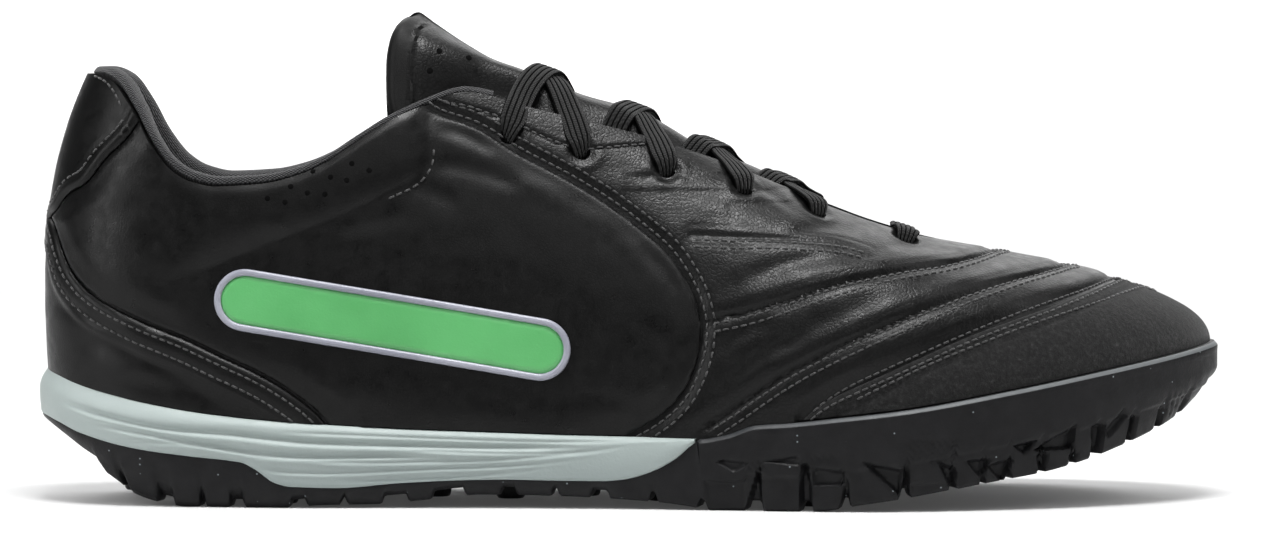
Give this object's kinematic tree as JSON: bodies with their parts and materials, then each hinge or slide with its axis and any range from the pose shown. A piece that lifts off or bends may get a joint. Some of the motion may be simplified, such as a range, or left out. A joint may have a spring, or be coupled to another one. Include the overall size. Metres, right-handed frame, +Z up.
{
  "type": "turf shoe",
  "caption": "Low laced football shoe for artificial turf, right foot: hollow leather upper, padded collar and tongue, foam midsole, studded rubber outsole; worn on the foot.",
  "frame": {"origin": "on the floor, under the middle of the shoe's bounding box", "axes": "+X from heel to toe, +Z up, -Y to the outer side of the right foot"},
  "size_m": [0.292, 0.1018, 0.1195],
  "materials": {
    "leather": "smooth and pebbled black leather",
    "nubuck": "matt black nubuck",
    "lining": "knitted lining over foam",
    "lace": "woven flat lace",
    "foam": "moulded grey midsole foam",
    "rubber": "moulded black rubber",
    "insole": "textile over foam",
    "inlay": "moulded plastic film"
  },
  "bodies": {
    "root": {"outsole": "rubber", "midsole": "foam", "insole": "insole", "upper": "leather", "quarter_outer": "leather", "quarter_inner": "leather", "counter": "leather", "heel_tab": "leather", "toe_cap": "nubuck", "inlay_outer": "inlay", "collar": "lining", "tongue": "leather", "lace_bar": "lace", "lace_cross_1": "lace", "lace_cross_2": "lace", "lace_cross_3": "lace", "lace_cross_4": "lace"}
  },
  "joints": []
}
